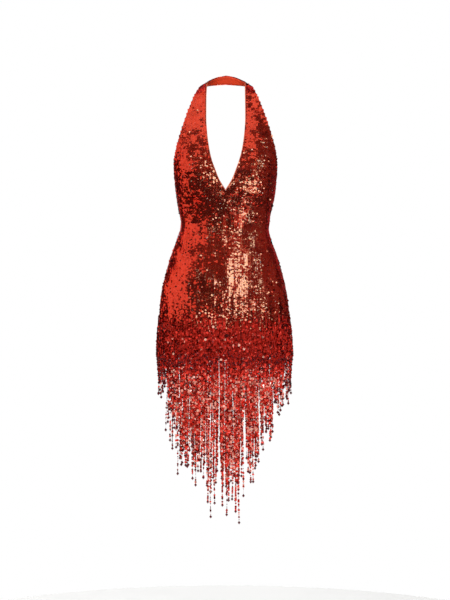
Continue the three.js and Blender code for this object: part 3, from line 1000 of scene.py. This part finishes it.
class Strands:
    """All strands of one side of the fringe, front (-1) or back (1), as arrays with one value a strand."""

    def __init__(self, depth_side, pitch):
        self.depth_side = depth_side
        self.chance = np.random.default_rng(STRAND_SEED + depth_side)
        self.skirt = {side: front_half(side) if depth_side < 0 else back_half(side) for side in SIDES}
        tables = []
        for tier, (top_z, end_z) in enumerate(TIERS):
            for side in SIDES:
                row = np.broadcast_arrays(self.even_across(side, pitch, tier), side, top_z, end_z, tier)
                tables.append(np.stack(row, -1).astype(float))
        self.across, self.side, self.top_z, self.end_z, self.tier = np.concatenate(tables).T
        self.count = len(self.across)
        self.hem_x = self.path(np.full(self.count, float(HEM_Z)), np.arange(self.count))[0][:, 0] / MM
        self.lock = named(LOCK_COLUMNS, np.array(LOCKS, float).T)
        self.mine = (np.abs(self.hem_x[:, None] - self.lock.x) - self.lock.half).argmin(axis=1)
        self.end_strands()
        self.phase = self.chance.uniform(0, 2 * np.pi, self.count)
        self.drift = self.chance.normal(size=self.count)
        self.pull = np.where(self.chance.random(self.count) < STRAYS, STRAY_PULL, 1.0)

    def end_strands(self):
        """Where each strand ends and how long its thin tail is: level tiers end unevenly, and in each lock
        one strand is the longest, a second one nearly so, and the others stop short at random."""
        chance = self.chance
        level = ~np.isnan(self.end_z)
        unevenly = chance.normal(size=self.count) * TIER_RAGGED
        end_z, longest_z = self.lock.end_z[self.mine], self.lock.longest_z[self.mine]
        last = self.tier == len(TIERS) - 1
        share = np.where(last, 0.35, -0.15) + 0.32 * chance.normal(size=self.count)
        from_middle = np.abs(self.hem_x - self.lock.x[self.mine]) + 4 * chance.random(self.count)
        order = np.lexsort((from_middle, self.mine, ~last))
        first = np.unique(self.mine[order], return_index=True)[1]
        longest = order[first]
        share[longest], share[order[first + 1]] = 1.0, 0.75
        if self.depth_side > 0:
            share -= BACK_SHORTER
        hung = end_z + (longest_z - end_z) * np.clip(share, -0.9, 1)
        self.end_z = np.where(level, self.end_z + unevenly, hung)
        self.top_z = self.top_z + np.where(level, unevenly[::-1], 0)
        tail = chance.uniform(4, 24, self.count)
        tail[longest] = 0.7 * (end_z - longest_z)[longest]
        self.tail = np.where(level, 2.0, tail)

    def narrowing(self, side, lock):
        """How much narrower a lock hangs than its share of the hem, which ends halfway to the next lock."""
        x, half = self.lock.x, self.lock.half
        beyond = np.clip(lock + side.astype(int), 0, len(LOCKS) - 1)
        share = np.abs(x[beyond] - x[lock]) + half[lock] - half[beyond]
        share = np.where(beyond == lock, 2 * half[lock], share)
        return np.clip(2 * half[lock] / np.maximum(share, 1), 0.3, 1.0)

    def even_across(self, side, pitch, tier):
        """Places across the hem, one pitch apart and each tier set over by a part of it."""
        lengths, across = lengths_across(self.skirt[side], np.array([LAST_LEVEL - 0.01]))
        pitch = pitch * (1.0 if self.depth_side < 0 else BACK_PITCH)
        wanted = np.arange(pitch * (0.2 + 0.37 * tier % 1), lengths.max() - 0.001, pitch)
        wanted = wanted + self.chance.normal(size=len(wanted)) * pitch * 0.12
        return np.interp(wanted, lengths[0], across)

    def path(self, z, strand):
        """Points of strands at heights in millimetres, with the unit vectors out and along the hem: on the
        skirt down to the hem, then straight down from it."""
        place = place_of(np.maximum(z, HEM_Z + 0.5))
        points, out = np.empty((len(z), 3)), np.empty((len(z), 3))
        for side in SIDES:
            mine = self.side[strand] == side
            across = self.across[strand][mine]
            at, normals, _ = with_normals(self.skirt[side], place[mine], across, -side * self.depth_side)
            points[mine], out[mine] = at, unit(normals * (1, 1, 0))
        points[:, 2] = z * MM
        return points, out, np.cross(out, [0, 0, 1.0])

    def hang(self, z, strand):
        """The strands' own paths: off the cloth by their tier, drawn into their locks, swaying a little."""
        points, out, along = self.path(z, strand)
        below = np.clip((HEM_Z - z) / FALL, 0, 1)
        x = points[:, 0] / MM
        opened = np.clip((LOCKS_OPEN_Z - z) / (LOCKS_OPEN_Z - LOCKS_SHUT_Z), 0, 1)
        opened = opened * opened * (3 - 2 * opened)
        middle = self.lock.x[self.mine[strand]]
        narrower = self.narrowing(np.sign(x - middle), self.mine[strand])
        drawn = middle + (x - middle) * (1 - (1 - narrower) * self.pull[strand])
        inwards = DRAWN_IN * np.clip((HEM_Z - z) / 80, 0, 1) * (1 - opened)
        points[:, 0] += ((drawn - x) * opened - x * inwards) * MM
        phase = self.phase[strand]
        moved = 1.6 * below * self.drift[strand] + (0.5 + 1.2 * below) * np.sin(z / 55 + phase)
        off = 0.7 + 0.35 * (len(TIERS) - 1 - self.tier[strand]) + 1.5 * below * np.sin(z / 70 + 2 * phase)
        return points + out * (off * MM)[:, None] + along * (moved * MM)[:, None], out, along

    def stations(self, top, length, pitch, uneven):
        """Heights every pitch down each strand from its top, for its length, with each one's strand."""
        counts = np.maximum((length / pitch).astype(int), 0)
        strand = np.repeat(np.arange(self.count), counts)
        step = np.arange(counts.sum()) - np.repeat(np.cumsum(counts) - counts, counts)
        z = top[strand] - (step + 0.5) * pitch
        return z + self.chance.normal(size=len(z)) * pitch * uneven, strand


def string_sequins(strands, sizes, name):
    """Sequins down each strand to its tail, turned about the thread at random, the more the lower they
    hang. Below the hem they are painted paler as a painted highlight, and here and there a large one faces
    outwards with the brightest painted highlight."""
    chance = strands.chance
    length = strands.top_z - strands.end_z - 4
    z, strand = strands.stations(strands.top_z, length, sizes.sequin_pitch / MM, 0.12)
    above_tail = z - strands.end_z[strand] - strands.tail[strand]
    keep = chance.random(len(z)) < np.interp(above_tail, [0, 10, 90], [0.5, 0.7, 1.0])
    z, strand = z[keep], strand[keep]
    points, out, _ = strands.hang(z, strand)
    count = len(z)
    hung = np.clip((strands.top_z[strand] - z) / 90, 0, 1)
    turn = chance.normal(size=count) * (13 + 13 * hung) + 18 * hung * np.sin(z / 19 + strands.phase[strand])
    rise = chance.normal(size=count) * (7 + 4 * hung)
    down = np.broadcast_to([0, 0, -1.0], out.shape)
    facing = tilted(out, down, np.radians(np.clip(turn, -75, 75)), np.radians(rise))
    off = 0.9 * chance.random(count)
    # painted highlight: below the hem the strung sequins are painted paler the lower they hang, standing in
    # for the brighter light they reflect there
    paler = 0.52 * np.clip((HEM_Z - 20 - z) / 60, 0, 1)
    tint = np.clip(0.08 + paler + (0.26 + 0.35 * paler) * chance.normal(size=count), 0, 1)
    # painted highlight: a few strung sequins get the pale colour, and a few large ones face outwards carrying
    # the brightest painted highlight
    rare = chance.random(count)
    large_painted_highlight = rare < LARGE_HIGHLIGHT_SHARE
    tint = np.where(large_painted_highlight, 1.3, np.where(rare < PALE_HIGHLIGHT_SHARE, 0.95, tint))
    facing = np.where(large_painted_highlight[:, None], out, facing)
    points = points + out * ((off + 2.0 * large_painted_highlight) * MM)[:, None]
    diameter = sizes.diameter * (1 + 0.08 * chance.normal(size=count) + 0.12 * large_painted_highlight)
    return sequin_discs(name, points, facing, -down, diameter, STRUNG_CORNERS, sizes.dish, tint, STRUNG_FOIL)


def twist_threads(strands, sizes, name):
    """Three-sided thread tubes down each strand: a triangle carried along the strand's path."""
    share = np.linspace(0, 1, THREAD_STEPS)
    z = (strands.top_z[:, None] + (strands.end_z - strands.top_z)[:, None] * share).ravel()
    points, out, along = strands.hang(z, np.repeat(np.arange(strands.count), THREAD_STEPS))
    turn = np.arange(3)[:, None] * 2 * np.pi / 3
    ring = out[:, None] * np.cos(turn) + along[:, None] * np.sin(turn)
    tube = points[:, None] + ring * (sizes.thread / 2)
    strand = np.arange(strands.count)[:, None]
    first = (strand * THREAD_STEPS + np.arange(THREAD_STEPS - 1)).reshape(-1, 1) * 3
    corner, after = np.arange(3), (np.arange(3) + 1) % 3
    faces = np.stack([first + corner, first + after, first + after + 3, first + corner + 3], -1)
    new_piece(name, tube, faces.reshape(-1, 4), *THREAD)


def string_beads(strands, sizes, name):
    """Small beads down each tail and a drop at its end: two six-sided cones base to base. The drops of the
    level tiers are smaller, and all drops are dark."""
    chance = strands.chance
    z, strand = strands.stations(strands.end_z + strands.tail, strands.tail, BEAD_PITCH, 0.25)
    z = np.concatenate([z, strands.end_z + DROP_RISE])
    strand = np.concatenate([strand, np.arange(strands.count)])
    centres, _, _ = strands.hang(z, strand)
    count = len(z)
    tall = sizes.bead * (1 + 0.15 * chance.normal(size=count))
    wide = tall.copy()
    drop = sizes.drop * np.where(strands.tier < len(TIERS) - 2, 0.75, 1.0)
    tall[-strands.count:], wide[-strands.count:] = drop, drop * 0.82
    around = np.arange(6)
    turn = around * np.pi / 3
    ring = np.stack([np.cos(turn), np.sin(turn), 0 * turn], -1)
    shape = np.concatenate([[[0, 0, 1.0]], ring, [[0, 0, -1.0]]])
    points = centres[:, None] + shape * np.stack([wide, wide, tall], -1)[:, None] / 2
    here, after = around + 1, (around + 1) % 6 + 1
    upper, lower = np.stack([0 * around, here, after], -1), np.stack([0 * around + 7, after, here], -1)
    faces = np.arange(count)[:, None, None] * len(shape) + np.concatenate([upper, lower])
    tint = chance.random(count)
    tint[-strands.count:] *= 0.7
    tints = {"tint": np.repeat(tint, len(shape))}
    new_piece(name, points, faces.reshape(-1, 3), *BEAD, (), tints, smooth=False)


class DRESS_OT_fringe(Operator):
    """Hang the tiers of sequin strands, with their threads and beads"""

    bl_idname = "dress.fringe"
    bl_label = "Fringe"

    def execute(self, context):
        sizes = context.scene.dress_fringe
        for depth_side, place in ((-1, "front"), (1, "back")):
            strands = Strands(depth_side, sizes.strand_pitch)
            sequins = string_sequins(strands, sizes, f"fringe_{place}_sequins")
            twist_threads(strands, sizes, f"fringe_{place}_threads")
            string_beads(strands, sizes, f"fringe_{place}_beads")
            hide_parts(f"fringe_tiers_{place}", f"fringe_fall_{place}")
        return {"FINISHED"}


# Studio softboxes: middle, the point that each faces, width and height in metres, radiance in red, green
# and blue, and what each lights. The strips have cool filters, which keep their reflections in red foil
# from burning out.
SOFTBOX_COLUMNS = "place aim width height radiance lights".split()
POWER_PER_RADIANCE = 4  # watts that give a square metre of lamp a radiance of 1
COOL = (1.15, 20.0, 28.0)
SOFTBOXES = {
    "left_wall": ((-2.3, -1.1, 0.0), (0.0, -1.1, 0.0), 4.2, 1.9, (0.77, 0.77, 0.77), "all"),
    "left_filter": ((-2.26, -1.1, 0.0), (0.0, -1.1, 0.0), 4.15, 1.85, (0.0, 0.7, 0.85), "sewn"),
    "high_filter": ((-2.26, -0.1, 1.5), (0.0, -0.1, 1.5), 1.95, 1.05, (0.0, 0.7, 0.85), "sewn"),
    "left_high": ((-2.3, -0.1, 1.5), (0.0, -0.1, 1.5), 2.0, 1.1, (0.7, 0.7, 0.7), "all"),
    "overhead": ((-0.65, -0.6, 1.95), (-0.65, -0.59, 0.0), 2.3, 3.0, (0.76, 0.76, 0.76), "all"),
    "over_filter": ((-0.65, -0.6, 1.91), (-0.65, -0.59, 0.0), 2.25, 2.95, (0.0, 1.1, 1.3), "sewn"),
    "overhead_rear": ((0.0, 1.9, 1.9), (0.0, 0.0, 0.0), 3.2, 1.8, (0.45, 0.45, 0.45), "all"),
    "right_wall": ((2.4, -0.6, -0.3), (0.0, -0.6, -0.3), 3.0, 2.6, (0.1, 0.1, 0.1), "all"),
    "rear_left": ((-1.0, 2.8, 0.0), (0.0, 0.1, -0.5), 1.0, 2.4, (0.8, 0.8, 0.8), "all"),
    "rear_right": ((1.6, 2.8, -0.2), (0.0, 0.1, -0.5), 1.6, 2.6, (0.32, 0.32, 0.32), "all"),
    "floor_light": ((0.0, 0.0, 2.6), (0.0, 0.01, 0.0), 4.0, 4.0, (2.0, 2.0, 2.0), "ground"),
    "front_fill": ((0.0, -4.9, -0.6), (0.0, 0.0, -0.9), 7.5, 6.0, (0.74, 0.74, 0.74), "loose"),
    "right_fill": ((2.5, -0.4, -0.9), (0.0, -0.4, -0.9), 3.4, 2.4, (0.74, 0.74, 0.74), "loose"),
    "neck_fill": ((0.0, -1.8, 0.6), (0.0, 0.0, 0.0), 1.6, 1.2, (3.3, 3.3, 3.3), "smooth"),
    "front_strip": ((0.92, -2.94, 0.52), (0.0, -0.1, -0.45), 0.9, 1.05, COOL, "sewn"),
    "front_halo": ((1.15, -2.95, 0.1), (0.0, -0.1, -0.45), 1.9, 2.9, (0.27, 0.22, 0.22), "sewn"),
    "bust_halo": ((1.9, -2.3, -1.35), (0.0, -0.1, -0.4), 2.1, 1.9, (0.42, 0.34, 0.34), "sewn"),
    "fringe_strip": ((1.06, -2.9, 0.3), (0.0, -0.1, -0.6), 0.6, 0.6, (2.0, 6.0, 8.0), "loose"),
    "slat_1": ((1.72, -2.62, 0.28), (0.0, -0.1, -0.4), 0.6, 0.16, COOL, "sewn"),
    "slat_2": ((1.76, -2.56, -0.2), (0.0, -0.1, -0.4), 0.95, 0.28, COOL, "sewn"),
    "slat_3": ((1.7, -2.5, -0.7), (0.0, -0.1, -0.4), 0.8, 0.3, COOL, "sewn"),
    "slat_4": ((1.85, -2.4, -1.3), (0.0, -0.1, -0.4), 1.0, 0.44, COOL, "sewn"),
    "slat_5": ((2.0, -2.4, -1.95), (0.0, -0.1, -0.4), 0.8, 0.34, COOL, "sewn"),
    "rear_strip": ((1.06, 2.9, 0.4), (0.0, 0.1, -0.5), 1.0, 1.1, COOL, "rear"),
}

# Small lamps that make single sequins flash: direction from the dress in degrees to +X of its front and
# up, width and height in metres.
LAMP_COLUMNS = "azimuth elevation width height".split()
LAMP_RADIUS, LAMP_AIM = 3.0, (0.0, -0.1, -0.45)
LAMPS = [
    (-26, 13, 0.08, 0.3),
    (-11, 16, 0.06, 0.2),
    (6, -24, 0.3, 0.12),
    (-14, -31, 0.3, 0.12),
    (24, -33, 0.4, 0.12),
    (60, 25, 0.4, 0.3),
    (70, -15, 0.35, 0.3),
    (48, 4, 0.12, 0.5),
    (150, 30, 0.3, 0.3),
    (-150, 25, 0.3, 0.3),
    (165, -20, 0.4, 0.15),
    (-125, 35, 0.3, 0.3),
]

# What each group of lamps lights, by the first words of the pieces' names.
LIT_PARTS = {
    "sewn": ("front_sequins", "back_left_sequins", "back_right_sequins", "neck_band_sequins"),
    "loose": ("fringe_front", "fringe_back", "neck_band_sequins"),
    "rear": ("back_left_sequins", "back_right_sequins", "neck_band_sequins"),
    "smooth": ("neck_band_lining_cloth", "binding"),
    "ground": ("studio_floor",),
}
FLOOR_Z, FLOOR_RADIUS = -1.6, 1.1
FLOOR_RINGS, FLOOR_RAYS = 9, 97
CAMERA_Y, CAMERA_Z = -4.559, -0.613
CAMERA_LENS, CAMERA_SENSOR = 98.2, 36.0  # in millimetres


class DRESS_OT_stage(Operator):
    """Set up the floor, the soft studio light and the camera"""

    bl_idname = "dress.stage"
    bl_label = "Stage"

    def execute(self, context):
        scene = context.scene
        scene.view_settings.view_transform = "Standard"
        scene.view_settings.look = "None"
        self.lay_floor(scene)
        self.light_world(scene)
        for group, parts in LIT_PARTS.items():
            lit = bpy.data.collections.new(group)
            for piece in (each for each in scene.objects if each.name.startswith(parts)):
                lit.objects.link(piece)
        for name, row in SOFTBOXES.items():
            self.hang_softbox(scene, name, named(SOFTBOX_COLUMNS, row))
        for number, row in enumerate(LAMPS):
            lamp = named(LAMP_COLUMNS, row)
            turn, rise = np.radians(lamp.azimuth), np.radians(lamp.elevation)
            way = (np.sin(turn) * np.cos(rise), -np.cos(turn) * np.cos(rise), np.sin(rise))
            lamp.place, lamp.aim = tuple(LAMP_RADIUS * np.array(way) + LAMP_AIM), LAMP_AIM
            lamp.radiance, lamp.lights = COOL, "sewn"
            self.hang_softbox(scene, f"lamp_{number}", lamp)
        self.place_camera(scene)
        return {"FINISHED"}

    @staticmethod
    def lay_floor(scene):
        """A round floor: a disc of rings about the middle."""
        radius = np.linspace(0, FLOOR_RADIUS, FLOOR_RINGS)[:, None]
        turn = np.linspace(0, 2 * np.pi, FLOOR_RAYS)
        points = np.stack(np.broadcast_arrays(radius * np.cos(turn), radius * np.sin(turn), FLOOR_Z), -1)
        mesh = bpy.data.meshes.new("studio_floor")
        mesh.from_pydata(points.reshape(-1, 3).tolist(), [], grid_faces(FLOOR_RINGS, FLOOR_RAYS).tolist())
        mesh.materials.append(dress_material("studio_floor"))
        floor = bpy.data.objects.new("studio_floor", mesh)
        scene.collection.objects.link(floor)
        floor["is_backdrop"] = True

    @staticmethod
    def light_world(scene):
        """A white backdrop for the camera, and a dim room, paler above, for the light."""
        world = bpy.data.worlds.new("studio")
        world.use_nodes = True
        scene.world = world
        look = Look("studio", world.node_tree)
        way = look.node("ShaderNodeTexCoord", output="Generated")
        room = look.mix(look.split(way)[2].ramp(-0.1, 0.9), (0.062, 0.062, 0.062), (0.22, 0.22, 0.22))
        room = look.node("ShaderNodeBackground", {}, {"Color": room, "Strength": 1.0})
        white = look.node("ShaderNodeBackground", {}, {"Color": (1, 1, 1, 1), "Strength": 1.0})
        seen = look.node("ShaderNodeLightPath", output="Is Camera Ray")
        both = look.node("ShaderNodeMixShader", {}, {0: seen, 1: room, 2: white})
        look.node("ShaderNodeOutputWorld", {}, {"Surface": both})

    @staticmethod
    def hang_softbox(scene, name, box):
        """A rectangular lamp that faces its aim and stays out of the camera's sight."""
        lamp = bpy.data.lights.new(name, "AREA")
        lamp.shape, lamp.size, lamp.size_y = "RECTANGLE", box.width, box.height
        brightest = max(box.radiance)
        lamp.color = [part / brightest for part in box.radiance]
        lamp.energy = brightest * POWER_PER_RADIANCE * box.width * box.height
        holder = bpy.data.objects.new(name, lamp)
        scene.collection.objects.link(holder)
        holder.location = box.place
        aim = Vector(box.aim) - Vector(box.place)
        holder.rotation_euler = aim.to_track_quat("-Z", "Y").to_euler()
        holder.visible_camera = False
        if box.lights != "all":
            holder.light_linking.receiver_collection = bpy.data.collections[box.lights]

    @staticmethod
    def place_camera(scene):
        """A level camera in front of the dress, at the height of its hips."""
        camera = bpy.data.cameras.new("camera")
        camera.lens, camera.sensor_width = CAMERA_LENS, CAMERA_SENSOR
        holder = bpy.data.objects.new("camera", camera)
        scene.collection.objects.link(holder)
        holder.location = (0, CAMERA_Y, CAMERA_Z)
        holder.rotation_euler = (np.pi / 2, 0, 0)
        scene.camera = holder


class DRESS_OT_declare(Operator):
    """An empty step, which makes and declares nothing"""

    bl_idname = "dress.declare"
    bl_label = "Cloth cuts"

    def execute(self, context):
        return {"FINISHED"}


class DRESS_PT_panel(Panel):
    """Lists the dress's operators, sizes and colours in the sidebar."""

    bl_label = "Sequin halter dress"
    bl_space_type = "VIEW_3D"
    bl_region_type = "UI"
    bl_category = "Dress"

    def draw(self, context):
        for step in STEPS:
            self.layout.operator(step.bl_idname)
        for name, group in GROUPS.items():
            box = self.layout.box()
            box.label(text=group.__doc__)
            for value in group.__annotations__:
                box.prop(getattr(context.scene, name), value)


STEPS = [
    DRESS_OT_front,
    DRESS_OT_back,
    DRESS_OT_neck_band,
    DRESS_OT_binding,
    DRESS_OT_sequins,
    DRESS_OT_fringe,
    DRESS_OT_declare,
    DRESS_OT_stage,
]
CLASSES = [*GROUPS.values(), *STEPS, DRESS_PT_panel]


def register():
    """Makes the classes and the scene's groups of sizes and colours known."""
    for each in CLASSES:
        bpy.utils.register_class(each)
    for name, group in GROUPS.items():
        setattr(bpy.types.Scene, name, PointerProperty(type=group))


def unregister():
    """Takes them away again."""
    for name in GROUPS:
        delattr(bpy.types.Scene, name)
    for each in reversed(CLASSES):
        bpy.utils.unregister_class(each)


def main():
    """Makes the dress and its stage, and works out the CAD model's box and the visual model's box."""
    register()
    for step in STEPS:
        group, name = step.bl_idname.split(".")
        getattr(getattr(bpy.ops, group), name)()
    boxes = {"cad": CAD_BOX, "visual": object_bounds()}
    {name: [list(corner) for corner in box] for name, box in boxes.items()}


if __name__ == "__main__":
    main()
